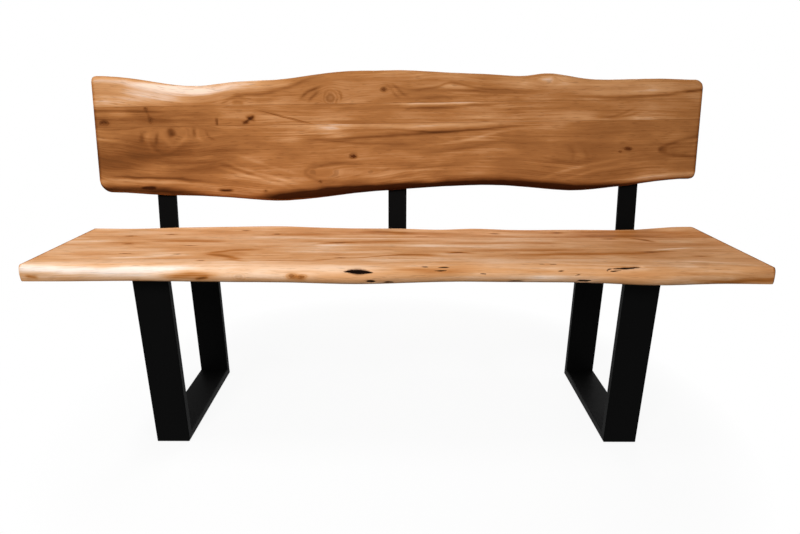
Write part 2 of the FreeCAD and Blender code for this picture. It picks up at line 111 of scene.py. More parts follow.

# Marks in the wood, in mm: along from the middle of the slab, and across over its surface from its low edge
# live: the side with a natural edge. square_share: how far its nose is squared at the ends
# offset: sets the board's figure and unevenness apart. tone: how much lighter or darker the board is
# knots: along, across, half length, half height, darkness of the core, pull on the grain
# cracks: half width, depth, points
# streaks: tone, half width, points; some are painted highlights, sheen or shade, as marked
boards = {
    "seat_front_board": {
        "live": "low",
        "square_share": 0.55,
        "offset": 3.1,
        "tone": 0.04,
        "knots": (
            (-427, 64, 7, 3, 0.55, 0.8),
            (-334, 6, 11, 8, 0.12, 1.2),
            (-222, 7, 9, 5, 0.4, 0.8),
            (-200, 4, 8, 4, 0.35, 0.8),
        ),
        "cracks": (
            (7.4, 3.0, ((-116, 13), (-84, 12), (-46, 11))),
            (3.0, 2.0, ((-84, 9), (-62, 10), (-43, 11))),
            (3.4, 3.0, ((450, 22), (461, 26), (483, 26), (504, 28), (534, 30))),
            (1.6, 1.5, ((442, 16), (449, 24), (462, 27))),
            (1.5, 1.0, ((446, 18), (476, 18))),
            (1.7, 0.8, ((40, 35), (58, 34), (78, 32))),
            (1.6, 1.0, ((84, 33), (100, 34), (120, 36))),
            (1.6, 1.0, ((75, 23), (92, 24), (110, 26))),
            (1.0, 0.6, ((172, 20), (194, 18))),
            (1.3, 0.8, ((296, 51), (311, 49), (327, 47))),
            (1.4, 0.8, ((314, 46), (335, 48), (357, 51))),
            (1.2, 0.8, ((335, 22), (350, 24), (365, 26))),
            (1.0, 0.6, ((373, 12), (395, 16))),
            (2.8, 2.0, ((-71, -12), (-38, -11))),
            (2.6, 2.0, ((-33, -13), (-2, -12))),
            (2.6, 2.0, ((376, -1), (419, -1))),
            (1.6, 1.0, ((226, -1), (282, -1))),
        ),
        "streaks_and_painted_light": (
            # The first five: painted highlight and sheen along the front nose, strongest at the left, partly
            # on pale sapwood
            (0.42, 9, ((-1100, 20), (-692, 22), (-531, 25), (-455, 27), (-400, 24), (-300, 18))),
            (0.12, 7, ((-640, 22), (-560, 27), (-440, 28))),
            (0.16, 11, ((-420, 26), (-250, 24), (-100, 28), (40, 34))),
            (0.22, 10, ((-480, 8), (-300, 10), (-150, 14), (60, 16))),
            (0.1, 15, (
                (-1000, 46), (-600, 48), (-473, 54), (-339, 44),
                (-207, 38), (-79, 42), (80, 50),
            )),
            (-0.2, 6, ((-1000, 7), (-744, 10), (-640, 11))),
            (-0.35, 3.5, ((-794, 6), (-776, 4), (-758, 2))),
            # Painted light: the lower nose at the left made brighter, partly pale sapwood
            (0.15, 9, ((-1000, 8), (-620, 10), (-420, 10))),
            (-0.34, 7, ((-520, 8), (-433, 12), (-360, 9))),
            (-0.5, 2.5, ((-432, 1), (-413, 4), (-396, 6))),
            (-0.3, 7, ((-240, 8), (-212, 5), (-184, 0))),
            (-0.16, 4, ((-300, 16), (-200, 16), (-130, 8))),
            (-0.22, 5, ((-400, 84), (-362, 72), (-339, 62), (-300, 60))),
            (-0.26, 3, ((-325, 68), (-234, 64), (-145, 64))),
            (-0.2, 4, ((-195, 66), (-163, 72), (-120, 86))),
            (-0.14, 7, ((-60, 30), (60, 22), (190, 26))),
            (0.14, 8, ((120, 58), (300, 60), (420, 64))),
            (-0.1, 36, ((300, 20), (640, 20), (1000, 20))),
            (0.14, 6, ((610, 72), (690, 60), (770, 44))),
            (0.06, 6, ((600, 10), (700, 11), (790, 12))),
            (-0.3, 5, ((620, -9), (710, -5), (751, -3), (900, -5))),
        ),
    },
    "seat_front_middle_board": {
        "live": None,
        "offset": 7.7,
        "tone": 0.0,
        "knots": (
            (-615, 118, 12, 3, 0.6, 0.6),
            (-495, 114, 8, 3, 0.6, 0.6),
            (-395, 118, 40, 18, 0.0, 1.2),
            (-125, 88, 10, 3, 0.6, 0.6),
            (142, 133, 14, 4, 0.6, 0.6),
            (587, 143, 14, 4, 0.65, 0.6),
            (684, 108, 12, 3, 0.4, 0.5),
        ),
        "cracks": (),
        "streaks_and_painted_light": (
            (-0.24, 7, ((-455, 116), (-403, 137), (-376, 148), (-300, 156))),
            (-0.28, 8, ((-445, 122), (-388, 100), (-350, 78), (-315, 66))),
            (-0.14, 16, ((-440, 120), (-380, 118), (-320, 120))),
            (0.12, 6, ((-370, 122), (-300, 112), (-210, 106))),
            (-0.28, 4, ((-155, 80), (-125, 87), (-69, 93), (4, 112), (90, 112))),
            (-0.26, 9, ((-30, 112), (35, 116), (115, 110))),
            (-0.28, 12, ((160, 112), (251, 119), (308, 117), (418, 126), (660, 132))),
            (-0.2, 6, ((95, 128), (142, 134), (190, 122))),
            (0.2, 9, ((-670, 74), (-606, 82), (-555, 93), (-503, 105), (-420, 96))),
            (0.32, 4, ((585, 156), (650, 172), (715, 184))),
            (-0.2, 5, ((535, 140), (587, 143), (655, 154))),
            (-0.16, 5, ((650, 112), (684, 108), (720, 104))),
            (0.14, 12, ((-800, 140), (-660, 146), (-500, 150))),
            (-0.14, 10, ((-760, 104), (-640, 110), (-540, 112))),
            (0.16, 9, ((-320, 140), (-120, 134), (60, 150))),
            (-0.14, 8, ((120, 152), (320, 158), (470, 152))),
        ),
    },
    "seat_rear_middle_board": {
        "live": None,
        "offset": 12.9,
        "tone": 0.02,
        "knots": (
            (-645, 203, 10, 4, 0.55, 0.5),
            (-494, 189, 17, 3, 0.6, 0.5),
            (-145, 217, 15, 4, 0.4, 0.5),
            (529, 264, 12, 4, 0.35, 0.5),
            (614, 252, 9, 4, 0.35, 0.5),
        ),
        "cracks": (),
        "streaks_and_painted_light": (
            (-0.22, 12, ((-650, 243), (-506, 232), (-370, 224))),
            (-0.3, 6, ((-215, 203), (-151, 218), (-88, 222))),
            (-0.2, 13, ((-300, 232), (-115, 226), (100, 238))),
            (-0.3, 6, ((576, 278), (612, 255), (640, 226))),
            (-0.16, 5, ((500, 264), (558, 264))),
            (0.26, 6, ((-350, 264), (7, 260), (170, 262))),
            (0.14, 10, ((-300, 200), (-180, 196), (60, 198), (260, 204))),
            (0.2, 7, ((-40, 188), (120, 190), (280, 194))),
            (-0.14, 12, ((-800, 222), (-640, 216), (-480, 222))),
            (-0.16, 12, ((40, 214), (260, 222), (480, 226))),
            (-0.08, 50, ((300, 220), (700, 220), (1100, 220))),
        ),
    },
    "seat_rear_board": {
        "live": "high",
        "offset": 17.3,
        "tone": -0.01,
        "knots": (
            (-672, 280, 11, 5, 0.6, 0.6),
            (-575, 298, 11, 5, 0.6, 0.6),
            (-396, 345, 9, 6, 0.5, 0.5),
            (-307, 305, 9, 5, 0.55, 0.5),
            (251, 316, 10, 5, 0.55, 0.5),
            (414, 326, 10, 5, 0.55, 0.5),
        ),
        "cracks": (),
        "streaks_and_painted_light": (
            (0.2, 8, ((-440, 276), (-300, 274), (-140, 272))),
            (-0.16, 16, ((-200, 330), (40, 318), (260, 306))),
            (-0.17, 60, ((200, 300), (660, 300), (1200, 300))),
            # Painted shade along the rear edge, under the back supports
            (-0.16, 14, ((150, 334), (600, 336), (1200, 334))),
            (0.12, 14, ((-800, 300), (-640, 316), (-460, 330))),
            (-0.24, 9, ((-110, 338), (-39, 335), (7, 327), (80, 322))),
            (-0.25, 4, ((40, 282), (63, 281), (86, 281))),
            (-0.16, 6, ((-330, 300), (-200, 306), (-60, 300))),
            (0.14, 6, ((-180, 290), (-20, 292), (140, 288))),
            (-0.14, 6, ((60, 292), (200, 288), (330, 292))),
            (0.12, 8, ((160, 306), (330, 304), (500, 310))),
            (-0.14, 8, ((420, 290), (560, 294), (700, 288))),
        ),
    },
    "back_lower_board": {
        "live": "low",
        "offset": 25.3,
        "tone": -0.03,
        "knots": (
            (-600, 178, 46, 30, 0.0, 0.7),
            (-533, 180, 24, 22, 0.0, 0.6),
            (-665, 172, 30, 26, 0.0, 0.6),
            (-117, 119, 8, 5, 1.0, 1.2),
            (-150, 77, 110, 24, 0.0, 1.0),
            (475, 127, 70, 24, 0.0, 0.4),
            (615, 140, 9, 4, 0.85, 1.0),
            (594, 133, 4, 3, 0.6, 0.5),
            (815, 143, 112, 22, 0.0, 0.8),
            (-207, 52, 5, 3, 0.6, 0.6),
            (-355, 27, 5, 3, 0.6, 0.6),
        ),
        "cracks": (),
        "streaks_and_painted_light": (
            (0.2, 6, (
                (-420, 197), (-258, 197), (-62, 198), (54, 200),
                (170, 204), (286, 208), (440, 212),
            )),
            (0.16, 7, ((-130, 194), (-62, 194), (54, 194), (170, 199), (330, 207))),
            (-0.24, 2.5, ((-120, 187), (14, 187), (94, 182), (210, 188), (287, 196), (400, 204))),
            (-0.2, 4, (
                (-350, 176), (-267, 166), (-152, 163), (-37, 172),
                (55, 176), (115, 182), (260, 194),
            )),
            (-0.16, 4, ((-345, 154), (-210, 158), (-95, 153), (75, 148))),
            (0.14, 4, ((-310, 182), (-180, 176), (-60, 183), (60, 187), (170, 192))),
            (0.09, 6, ((-626, 190), (-615, 159), (-590, 145), (-559, 170), (-543, 196))),
            (0.1, 5, ((-526, 196), (-531, 171), (-510, 150))),
            (0.06, 6, ((-649, 190), (-665, 159), (-645, 124))),
            (-0.3, 9, ((-606, 194), (-594, 162))),
            (-0.16, 5, ((-636, 186), (-642, 140))),
            (-0.15, 6, ((-676, 186), (-680, 146))),
            (-0.17, 5, ((-541, 194), (-535, 164))),
            (-0.07, 5, ((-662, 170), (-640, 132), (-600, 126), (-560, 146))),
            (-0.13, 3, ((-510, 190), (-500, 168), (-476, 156))),
            (-0.26, 3, ((-810, 63), (-677, 61), (-573, 57), (-470, 47))),
            (0.24, 7, ((-900, 55), (-678, 51), (-574, 48), (-505, 41), (-420, 29))),
            (0.14, 4, ((-490, 122), (-409, 83), (-329, 64), (-230, 32))),
            (0.16, 5, ((-510, 98), (-386, 64), (-260, 28))),
            (0.1, 4, ((-460, 134), (-340, 92), (-240, 68))),
            (-0.1, 4, ((-500, 110), (-398, 73), (-300, 44))),
            (-0.12, 5, ((-60, 108), (-182, 98), (-246, 81), (-218, 58), (-100, 48))),
            (0.14, 9, ((-180, 77), (-125, 77), (-75, 79))),
            (0.14, 4, ((-10, 140), (169, 158), (277, 185), (380, 200))),
            (-0.12, 5, ((10, 125), (180, 140), (310, 170))),
            (-0.1, 26, ((360, 120), (460, 122), (570, 126))),
            (-0.07, 6, ((452, 150), (470, 128), (462, 104))),
            (-0.06, 6, ((490, 146), (506, 124), (500, 108))),
            (-0.14, 5, (
                (900, 205), (777, 169), (712, 149), (699, 139),
                (712, 130), (781, 122), (900, 118),
            )),
            (-0.08, 5, ((900, 172), (770, 152), (728, 141), (756, 132), (900, 134))),
            (-0.16, 6, ((690, 141), (706, 139), (726, 137))),
            (0.14, 4, ((350, 52), (471, 90), (553, 106), (650, 124))),
            (0.12, 4, ((410, 48), (540, 86), (660, 102))),
            (0.3, 8, ((560, 48), (691, 70), (900, 82))),
            (-0.5, 3.5, ((-694, 35), (-669, 35), (-644, 35))),
            (-0.6, 4, ((-488, 30), (-462, 28), (-436, 29))),
            # These five: painted shade where the lower live edge turns down and under
            (-0.42, 11, (
                (-1100, 33), (-740, 31), (-681, 28), (-623, 25),
                (-562, 19), (-510, 11), (-380, 4),
            )),
            (-0.5, 12, ((-450, 2), (-300, 13), (-180, 24), (-40, 36))),
            (-0.5, 11, ((360, 44), (470, 38), (560, 42), (690, 50))),
            (-0.35, 7, ((560, 42), (700, 50), (820, 58), (1000, 62))),
            (-0.75, 13, (
                (-400, 10), (-250, 18), (-120, 30), (130, 44),
                (250, 48), (380, 44), (470, 38), (620, 44),
            )),
            # Painted shade: the left half darkened against the lamps' stronger light from the left
            (-0.25, 50, ((-1000, 115), (-640, 120), (-360, 114))),
        ),
    },
    "back_middle_board": {
        "live": None,
        "offset": 31.4,
        "tone": 0.03,
        "knots": (
            (-386, 218, 7, 4, 0.8, 1.0),
            (-400, 205, 6, 3, 0.7, 0.8),
            (-652, 209, 5, 6, 0.35, 0.8),
            (-663, 240, 5, 4, 0.35, 0.6),
            (-775, 202, 10, 5, 0.45, 0.8),
        ),
        "cracks": (),
        "streaks_and_painted_light": (
            (-0.2, 3, ((-900, 236), (-721, 233), (-653, 231), (-540, 230))),
            # Painted shade: the left half darkened against the lamps' stronger light from the left
            (-0.17, 30, ((-1100, 215), (-620, 215), (-400, 213))),
            (-0.42, 1.6, ((-385, 240), (-339, 229), (-289, 217), (-205, 197))),
            (-0.5, 2.2, ((-477, 194), (-478, 220))),
            (-0.34, 3, ((-412, 198), (-392, 212), (-374, 226))),
            (-0.3, 3, ((-404, 222), (-388, 214), (-372, 208))),
            (-0.24, 3, ((-790, 196), (-776, 206), (-758, 198))),
            (-0.1, 2.5, ((-668, 250), (-658, 226), (-650, 204))),
            (0.34, 4.5, ((-70, 256), (-15, 255), (54, 254), (131, 255), (207, 258), (280, 260))),
            (0.16, 3, ((90, 205), (218, 208), (323, 210), (450, 211))),
            (-0.2, 4, ((-20, 241), (141, 246), (290, 258))),
            (0.14, 12, ((420, 226), (474, 226), (540, 228))),
            (-0.16, 3, ((480, 215), (571, 224), (640, 250))),
            (-0.12, 3, ((530, 213), (600, 224), (660, 242))),
            (0.17, 3, ((470, 217), (590, 217))),
            (0.1, 3, ((600, 218), (710, 218))),
        ),
    },
    "back_upper_board": {
        "live": "high",
        "offset": 41.2,
        "tone": 0.03,
        "knots": (
            (-176, 268, 15, 14, 0.25, 1.9),
            (-36, 289, 6, 5, 0.65, 1.8),
            (-428, 252, 30, 14, 0.0, 1.0),
            (139, 303, 30, 10, 0.0, 0.9),
            (387, 312, 26, 14, 0.05, 1.2),
        ),
        "cracks": (),
        "streaks_and_painted_light": (
            # The first two: painted sheen along the top live edge at the left, over pale sapwood
            (0.26, 24, (
                (-900, 292), (-700, 287), (-593, 287), (-514, 292),
                (-434, 302), (-349, 314), (-220, 330),
            )),
            (0.26, 9, (
                (-1000, 308), (-750, 308), (-687, 300), (-570, 288),
                (-525, 281), (-478, 285), (-433, 297), (-330, 310),
            )),
            (0.18, 18, ((-900, 262), (-650, 262), (-490, 268))),
            (-0.18, 5, (
                (-490, 250), (-434, 268), (-400, 274), (-349, 279),
                (-286, 294), (-230, 316), (-170, 330),
            )),
            (-0.1, 5, ((-474, 248), (-435, 266), (-417, 271), (-401, 263), (-389, 248))),
            (-0.22, 6, ((-440, 252), (-421, 256), (-398, 251))),
            (-0.22, 4, ((-262, 254), (-248, 272), (-230, 285), (-190, 301))),
            (-0.2, 4, ((-238, 254), (-222, 272), (-200, 288))),
            (-0.2, 3, (
                (-60, 312), (-25, 305), (22, 290), (93, 294),
                (141, 306), (207, 294), (300, 288), (440, 284),
            )),
            (-0.18, 4, ((-6, 272), (60, 287), (170, 287), (280, 283), (410, 285))),
            (-0.14, 4, ((-20, 264), (150, 272), (330, 277))),
            (0.12, 5, ((0, 296), (120, 298), (260, 293))),
            (-0.2, 3, ((-36, 306), (-17, 291), (-3, 274), (14, 266))),
            (-0.14, 3, ((-22, 308), (0, 292), (14, 278), (36, 270))),
            (0.12, 3, ((-30, 300), (-10, 284), (6, 268))),
            (-0.16, 3, ((-160, 292), (-148, 276), (-150, 256))),
            (-0.24, 4, ((410, 279), (542, 271), (633, 274), (701, 278), (830, 299))),
            (-0.3, 4, ((740, 287), (770, 289), (820, 292))),
            (0.08, 5, ((430, 288), (560, 283), (710, 288))),
            (0.22, 9, ((360, 318), (387, 316), (414, 314))),
            (0.12, 40, ((300, 290), (650, 290), (1000, 290))),
        ),
    },
}

# Figure of the wood. Sways: waves per metre along and across the grain, and how far they shift it
sways = (
    (1.9, 14.0, 36 * mm),
    (6.0, 32.0, 9 * mm),
)
sway_detail = 2.0
# Layers: noise cells per metre along and across the grain, detail, weight in the shade
grain_layers = (
    (0.9, 28.0, 2.0, 0.48),
    (9.0, 44.0, 3.0, 0.6),
    (3.0, 114.0, 3.0, 0.42),
    (4.2, 310.0, 3.0, 0.48),
    (15.0, 900.0, 2.0, 0.2),
)
noise_middle = 0.5
middle_shade = 0.52
figure_strengths = {"seat_wood": 0.7, "back_wood": 0.8}

# Mottle: cells per metre, detail, weight in the shade, and how it strengthens and weakens the figure
mottle_cells = (5.0, 14.0, 14.0)
mottle_detail = 3.0
mottle_weight = 0.42
mottle_contrast = {"From Min": 0.3, "From Max": 0.7, "To Min": 0.2, "To Max": 1.25}

# Calmer figure in pale and dark zones: where the tone calms it, and the share of it that goes
calm_limits = (0.12, 0.45)
calm_share = 0.5

# Knots: zone round one and its dark heart, in its half sizes, shade of its core, and waves of its rings,
# the core's darkness that brings them out in full, and their shade
knot_zone = (2.2, 0.8)
heart_limits = (1.2, 0.5)
core_shade = -0.2
ring_waves = 9.0
ring_core = 0.2
ring_shade = 0.05

# Pores: cells per metre, detail, where they start in the noise, and how dark they are
pore_cells = (34.0, 430.0, 430.0)
pore_detail = 1.0
pore_limits = (0.42, 0.28)
pore_strength = 0.28

# Ragged rims of knots and cracks: cells per metre, detail, and how far they stray
chip_cells = (160.0, 260.0, 260.0)
chip_detail = 2.0
knot_chipping = 1.6
crack_chipping = 0.35

# Cracks, in half widths, with their brown rims, and the glue lines
crack_limits = (1.1, 0.75)
crack_strength = 1.0
rim_limits = (1.9, 0.9)
rim_strength = 0.65
glue_limits = (1.1 * mm, 0.2 * mm)
glue_strength = 0.35

# Oiled surface of the wood
wood_roughness = 0.5
fibre_roughness = 0.14
mottle_roughness = 0.12
pore_roughness = 0.2
wood_specular = 0.006
pore_relief = -0.6
wood_bump = 0.35
wood_bump_depth = 0.4 * mm

# Colours of the wood, as they show on a screen, from dark to light; the lightest also gives the pinkish
# white of the painted highlights and sheen
screen_white = 255
wood_colours = {
    "seat_wood": (
        (0.0, (108, 62, 30)),
        (0.3, (181, 114, 57)),
        (0.52, (214, 157, 107)),
        (0.75, (236, 195, 159)),
        (1.0, (249, 229, 214)),
    ),
    "back_wood": (
        (0.0, (60, 29, 12)),
        (0.3, (134, 81, 41)),
        (0.52, (175, 116, 66)),
        (0.75, (208, 153, 104)),
        (1.0, (244, 216, 194)),
    ),
}
knot_colour = (88, 44, 17)
crack_colour = (20, 11, 7)

# Coated and moulded finishes: screen colour, roughness, specular level, grain cells per metre, grain depth
finishes = {
    "black_steel": ((5, 5, 5), 0.55, 0.03, 900.0, 0.2 * mm),
    "screws": ((26, 26, 27), 0.4, 0.3, 900.0, 0.1 * mm),
    "glides": ((16, 16, 17), 0.55, 0.2, 600.0, 0.1 * mm),
}
cloud_cells = 9.0
cloud_detail = 3.0
cloud_roughness = 0.14
lighter_share = 1.35
peel_detail = 2.0
peel_roughness = 0.1
coat_bump = 0.4

# Sockets of a colour mix by number: share, first and second colour, and the mixed colour that comes out
mix_sockets = (0, 6, 7)
mixed_socket = 2

# Floor and surroundings: linear colours, reach in metres, and where and how far the floor shows white
floor_reach = 9.0
white = (1.0, 1.0, 1.0, 1.0)
paper_colour = (0.85, 0.85, 0.85, 1.0)
bounce_colour = (0.14, 0.14, 0.14, 1.0)
shadow_limits = (0.7, 1.8)
floor_white_share = 0.91
surround_colour = (1.0, 0.98, 0.96, 1.0)
surround_strength = 0.1

# Soft boxes: place, aim, width and height in metres, watts
lamps = {
    "key": ((-1.7, -0.35, 3.0), (-0.4, -0.1, 0.45), 0.9, 0.3, 40),
    "fill": ((-0.5, -2.3, 1.9), (0, 0, 0.5), 1.6, 1.0, 58),
    "rear": ((0.5, 2.5, 1.9), (0, 0, 0.6), 2.0, 1.2, 42),
}


def colour(shown):
    """A screen colour, 0 to 255, as the linear colour that a shader takes."""
    linear = Color([value / screen_white for value in shown]).from_srgb_to_scene_linear()
    return (*linear, 1.0)


def smooth_step(value):
    """A soft rise from 0 to 1 as the value goes from 0 to 1."""
    value = np.clip(value, 0, 1)
    return value * value * (3 - 2 * value)


def node_points(name, matrix):
    """A CAD node's points, moved by a matrix."""
    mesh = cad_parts[name].data
    points = np.empty(len(mesh.vertices) * 3)
    mesh.vertices.foreach_get("co", points)
    matrix = np.array(matrix)
    return points.reshape(-1, 3) @ matrix[:3, :3].T + matrix[:3, 3]


def slab_matrix(names, turn):
    """The matrix from a slab's flat frame to the bench: x along it, y across it, z off its hidden face."""
    rotation = Matrix.Rotation(turn, matrix_size, "X")
    corners = [node_points(name, rotation.inverted()).min(axis=0) for name in names]
    lowest = np.min(corners, axis=0)
    return rotation @ Matrix.Translation((0, lowest[1], lowest[2]))


def end_stations(length, arris_radius):
    """Places along a slab, closely set at its ends, and how far each is drawn in for the arris."""
    half = length / 2
    inner = half - end_zone
    middle = np.linspace(-inner, inner, round(2 * inner / station_step) + 1)
    outer = np.arange(inner + end_station_step, half - arris_radius, end_station_step)
    turns = np.linspace(0, math.pi / 2, arris_steps + 1)
    arris = half - arris_radius * (1 - np.sin(turns))
    drawn = arris_radius * (1 - np.cos(turns))
    right = np.concatenate([outer, arris])
    inset = np.concatenate([np.zeros(len(outer)), drawn])
    places = np.concatenate([-right[::-1], middle, right])
    insets = np.concatenate([inset[::-1], np.zeros(len(middle)), inset])
    return places, insets


def smoothed(values, rounds):
    """Values along a slab with their small kinks taken out, the ends kept."""
    values = values.copy()
    for _ in range(rounds):
        middle = (values[:-2] + values[2:]) / 2
        values[1:-1] += smoothing_weight * (middle - values[1:-1])
    return values


def curved(values):
    """Values along the last axis run through smooth curves, with finer steps between them."""
    before = 2 * values[..., :1] - values[..., 1:2]
    after = 2 * values[..., -1:] - values[..., -2:-1]
    padded = np.concatenate([before, values, after], axis=-1)
    spans = values.shape[-1] - 1
    p0, p1, p2, p3 = (padded[..., k:k + spans] for k in range(4))
    steps = []
    for t in np.arange(curve_splits) / curve_splits:
        bend = (p2 - p0) * t + (2 * p0 - 5 * p1 + 4 * p2 - p3) * t**2 + (3 * p1 - p0 - 3 * p2 + p3) * t**3
        steps.append(p1 + bend / 2)
    fine = np.stack(steps, axis=-1).reshape(*values.shape[:-1], -1)
    return np.concatenate([fine, values[..., -1:]], axis=-1)


def board_sides(points, polygons, places, levels):
    """Where the board's low and high sides are at each place and level."""
    tree = BVHTree.FromPolygons([Vector(p) for p in points], polygons)
    low_start = float(points[:, 1].min()) - side_margin
    high_start = float(points[:, 1].max()) + side_margin
    limit = float(np.abs(points[:, 0]).max()) - end_margin
    low = np.empty((len(places), len(levels)))
    high = np.empty((len(places), len(levels)))
    up = Vector((0, 1, 0))
    for i, place in enumerate(np.clip(places, -limit, limit)):
        for k, level in enumerate(levels):
            low[i, k] = tree.ray_cast(Vector((place, low_start, level)), up)[0].y
            high[i, k] = tree.ray_cast(Vector((place, high_start, level)), -up)[0].y
    return curved(smoothed(low, smoothing_rounds)), curved(smoothed(high, smoothing_rounds))


def live_ripple(places, levels, offset):
    """How far the natural ripple draws a live edge in, never out."""
    drawn = np.zeros((len(places), len(levels)))
    for depth, along, over in ripples:
        for i, place in enumerate(places):
            for k, level in enumerate(levels):
                wave = noise.noise(Vector((place / along, level / over, offset)))
                drawn[i, k] += depth * (1 + wave) / 2
    return drawn


def block_faces(counts):
    """Quads over the outside of a block of points, and the numbers of the points that they use."""
    number = np.arange(np.prod(counts)).reshape(counts)
    sheets = (
        number[0].T, number[-1],
        number[:, 0], number[:, -1].T,
        number[:, :, 0].T, number[:, :, -1],
    )
    quads = []
    for sheet in sheets:
        corners = (sheet[:-1, :-1], sheet[1:, :-1], sheet[1:, 1:], sheet[:-1, 1:])
        quads.append(np.stack(corners, axis=-1).reshape(-1, 4))
    used, quads = np.unique(np.concatenate(quads), return_inverse=True)
    return quads.reshape(-1, 4), used


def developed(grid, live):
    """Across places measured over the surface, so that marks run on round a live edge."""
    across = grid[..., 1].copy()
    side = {"low": 0, "high": -1}.get(live)
    if side is None:
        return across
    edge = grid[:, side, :, 1:]
    steps = np.linalg.norm(np.diff(edge, axis=1), axis=2)
    down = np.cumsum(steps[:, ::-1], axis=1)[:, ::-1]
    down = np.concatenate([down, np.zeros((len(down), 1))], axis=1)
    sign = {"low": -1, "high": 1}[live]
    rise = edge[:, -1:, 0] + sign * down - edge[:, :, 0]
    fade = np.linspace(1, 0, grid.shape[1])
    if live == "high":
        fade = fade[::-1]
    across += rise[:, None, :] * fade[None, :, None]
    return across


def seam_distance(grid, live):
    """Distance from the glue lines at a board's joint sides."""
    from_low = grid[..., 1] - grid[:, :1, :, 1]
    from_high = grid[:, -1:, :, 1] - grid[..., 1]
    if live == "low":
        return from_high
    if live == "high":
        return from_low
    return np.minimum(from_low, from_high)


def wobble(along, across, offset):
    """Smooth unevenness over a board, from -1 to 1."""
    places = np.stack([along / wobble_spacing[0], across / wobble_spacing[1]], axis=-1)
    return np.array([noise.noise(Vector((x, y, offset))) for x, y in places])


def near_line(along, across, points, reach):
    """Numbers of the points within reach of the box round a line."""
    inside = (along > points[:, 0].min() - reach) & (along < points[:, 0].max() + reach)
    inside &= (across > points[:, 1].min() - reach) & (across < points[:, 1].max() + reach)
    return np.flatnonzero(inside)


def line_place(along, across, points, taper_share):
    """Distance from a line, and a taper that falls from 1 to 0 over a share of it at each end."""
    lengths = np.linalg.norm(np.diff(points, axis=0), axis=1)
    begun = np.concatenate([[0], np.cumsum(lengths)])
    nearest = np.full(along.shape, far)
    run = np.zeros(along.shape)
    for start, end, length, so_far in zip(points, points[1:], lengths, begun):
        way = (end - start) / length
        step = np.clip((along - start[0]) * way[0] + (across - start[1]) * way[1], 0, length)
        gap = np.hypot(along - start[0] - step * way[0], across - start[1] - step * way[1])
        run = np.where(gap < nearest, so_far + step, run)
        nearest = np.minimum(gap, nearest)
    from_end = np.minimum(run, begun[-1] - run)
    return nearest, smooth_step(from_end / (taper_share * begun[-1]))


def wood_marks(along, across, depth, marks, edge_shift):
    """What the wood's material draws from: flow of the grain, knots, cracks and tone, for each point."""
    flow = across - edge_shift
    uneven = wobble(along, across, marks["offset"])
    knot = np.full(along.shape, far)
    core = np.zeros(along.shape)
    for place, height, half_length, half_height, darkness, pull in marks["knots"]:
        run = (along - place * mm) / (half_length * mm)
        rise = (across - height * mm) / (half_height * mm)
        bow = np.tanh(rise) * np.exp(-((run / knot_reach) ** 2) - np.abs(rise) / knot_reach)
        flow = flow - pull * half_height * mm * bow
        distance = np.hypot(run, rise) * (1 + knot_stray * uneven)
        core = np.where(distance < knot, darkness, core)
        knot = np.minimum(knot, distance)
    crack = np.full(along.shape, far)
    pit = np.zeros(along.shape)
    for half_width, hollow, points in marks["cracks"]:
        points = curved(np.array(points, dtype=float).T * mm).T
        strayed = across + wobble_size * uneven * min(half_width / steady_width, 1)
        near = near_line(along, strayed, points, crack_reach)
        distance, taper = line_place(along[near], strayed[near], points, crack_taper_share)
        distance = distance / (half_width * mm * np.maximum(taper, thinnest_share) ** crack_fullness)
        crack[near] = np.minimum(crack[near], distance)
        pit[near] = np.maximum(pit[near], hollow * mm * smooth_step(pit_reach - distance))
    tone = np.full(along.shape, marks["tone"])
    for strength, half_width, points in marks["streaks_and_painted_light"]:
        points = curved(np.array(points, dtype=float).T * mm).T
        strayed = across + wobble_size * uneven * min(half_width / steady_width, 1)
        near = near_line(along, strayed, points, streak_reach * half_width * mm)
        distance, taper = line_place(along[near], strayed[near], points, streak_taper_share)
        tone[near] += strength * taper * np.exp(-((distance / (half_width * mm)) ** 2))
    return {
        "flow": np.stack([along + marks["offset"], flow + ring_slant * depth, depth], axis=-1),
        "knot": knot,
        "core": core,
        "crack": crack,
        "tone": tone,
    }, pit


def board_grid(name, matrix, slot):
    """Points over a board's solid, in rows along, across and through it, and how its live edge waves."""
    marks = boards[name]
    points = node_points(name, matrix.inverted())
    polygons = [tuple(p.vertices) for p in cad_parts[name].data.polygons]
    length = 2 * float(np.abs(points[:, 0]).max())
    bottom = float(points[:, 2].min())
    thickness = float(points[:, 2].max()) - bottom
    sections = np.array(section_shares)
    places, insets = end_stations(length, arris_radii[slot])
    low, high = board_sides(points, polygons, places, bottom + thickness * sections)
    shares = curved(sections)
    levels = bottom + thickness * shares
    near_end = smooth_step(1 - (length / 2 - np.abs(places)) / square_reach)
    nose = low.min(axis=1, keepdims=True)
    low = low - marks.get("square_share", 0) * near_end[:, None] * (low - nose)
    edge_shift = np.zeros(len(places))
    if marks["live"] == "low":
        edge_shift = low[:, -1] - low[:, -1].mean()
        low += insets[:, None] + live_ripple(places, levels, marks["offset"])
    if marks["live"] == "high":
        edge_shift = high[:, -1] - high[:, -1].mean()
        high -= insets[:, None] + live_ripple(places, levels, marks["offset"])
    finest = fine_across_step if marks["cracks"] and marks["live"] == "low" else across_step
    steps = round(float((high - low)[len(places) // 2].max()) / finest)
    spread = np.linspace(0, 1, steps + 1)
    rise = (shares - shares[0]) / (shares[-1] - shares[0])
    grid = np.empty((len(places), steps + 1, len(shares), 3))
    grid[..., 0] = places[:, None, None]
    grid[..., 1] = low[:, None, :] + (high - low)[:, None, :] * spread[None, :, None]
    grid[..., 2] = bottom + (insets[:, None] + (thickness - 2 * insets[:, None]) * rise)[:, None, :]
    return grid, smoothed(edge_shift, edge_smoothing_rounds)


